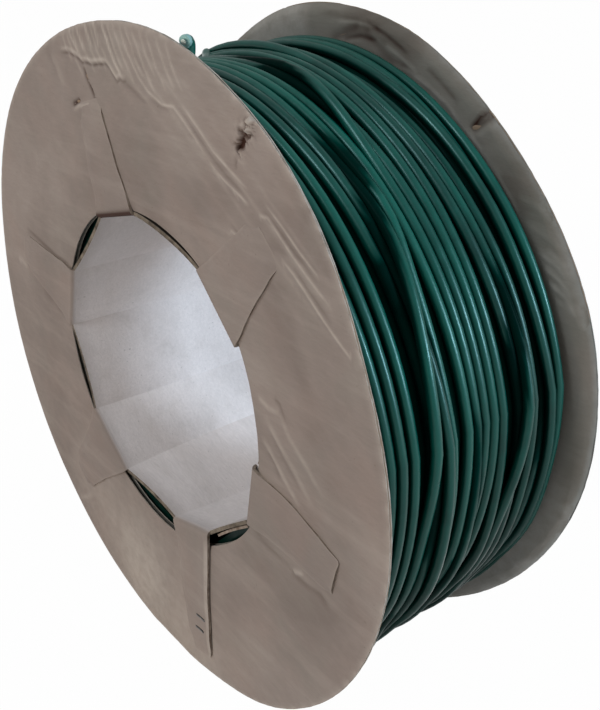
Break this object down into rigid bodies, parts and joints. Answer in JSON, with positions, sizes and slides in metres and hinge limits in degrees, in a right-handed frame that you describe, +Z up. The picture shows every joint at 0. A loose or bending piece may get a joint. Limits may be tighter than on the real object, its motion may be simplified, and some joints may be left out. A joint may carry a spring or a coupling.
{
  "type": "wire spool",
  "caption": "Corrugated board spool with round flanges, a folded core with stapled flaps, and a loose winding of green plastic covered wire.",
  "frame": {"origin": "on the floor, below the middle of the spool", "axes": "+Z up; the spool's axis runs along Y, with the near flange on the -Y side; +X to the right seen from there"},
  "size_m": [0.26, 0.095, 0.2587],
  "materials": {
    "kraft_liner": "matte",
    "fluting_paper": "matte",
    "core_board": "matte",
    "flap_board": "matte",
    "staple_wire": "satin",
    "green_cover": "gloss",
    "conductor": "satin"
  },
  "bodies": {
    "root": {"near_outer_liner": "kraft_liner", "near_fluting": "fluting_paper", "near_inner_liner": "kraft_liner", "far_inner_liner": "kraft_liner", "far_fluting": "fluting_paper", "far_outer_liner": "kraft_liner", "core_sleeve": "core_board", "near_flap_1": "flap_board", "near_flap_2": "flap_board", "near_flap_3": "flap_board", "near_flap_4": "flap_board", "near_flap_5": "flap_board", "near_flap_6": "flap_board", "far_flap_1": "flap_board", "far_flap_2": "flap_board", "far_flap_3": "flap_board", "far_flap_4": "flap_board", "far_flap_5": "flap_board", "far_flap_6": "flap_board", "near_staples": "staple_wire", "far_staples": "staple_wire", "wire_inner_layers": "green_cover", "wire_outer_layer": "green_cover", "wire_end": "green_cover", "wire_conductor": "conductor"}
  },
  "joints": []
}
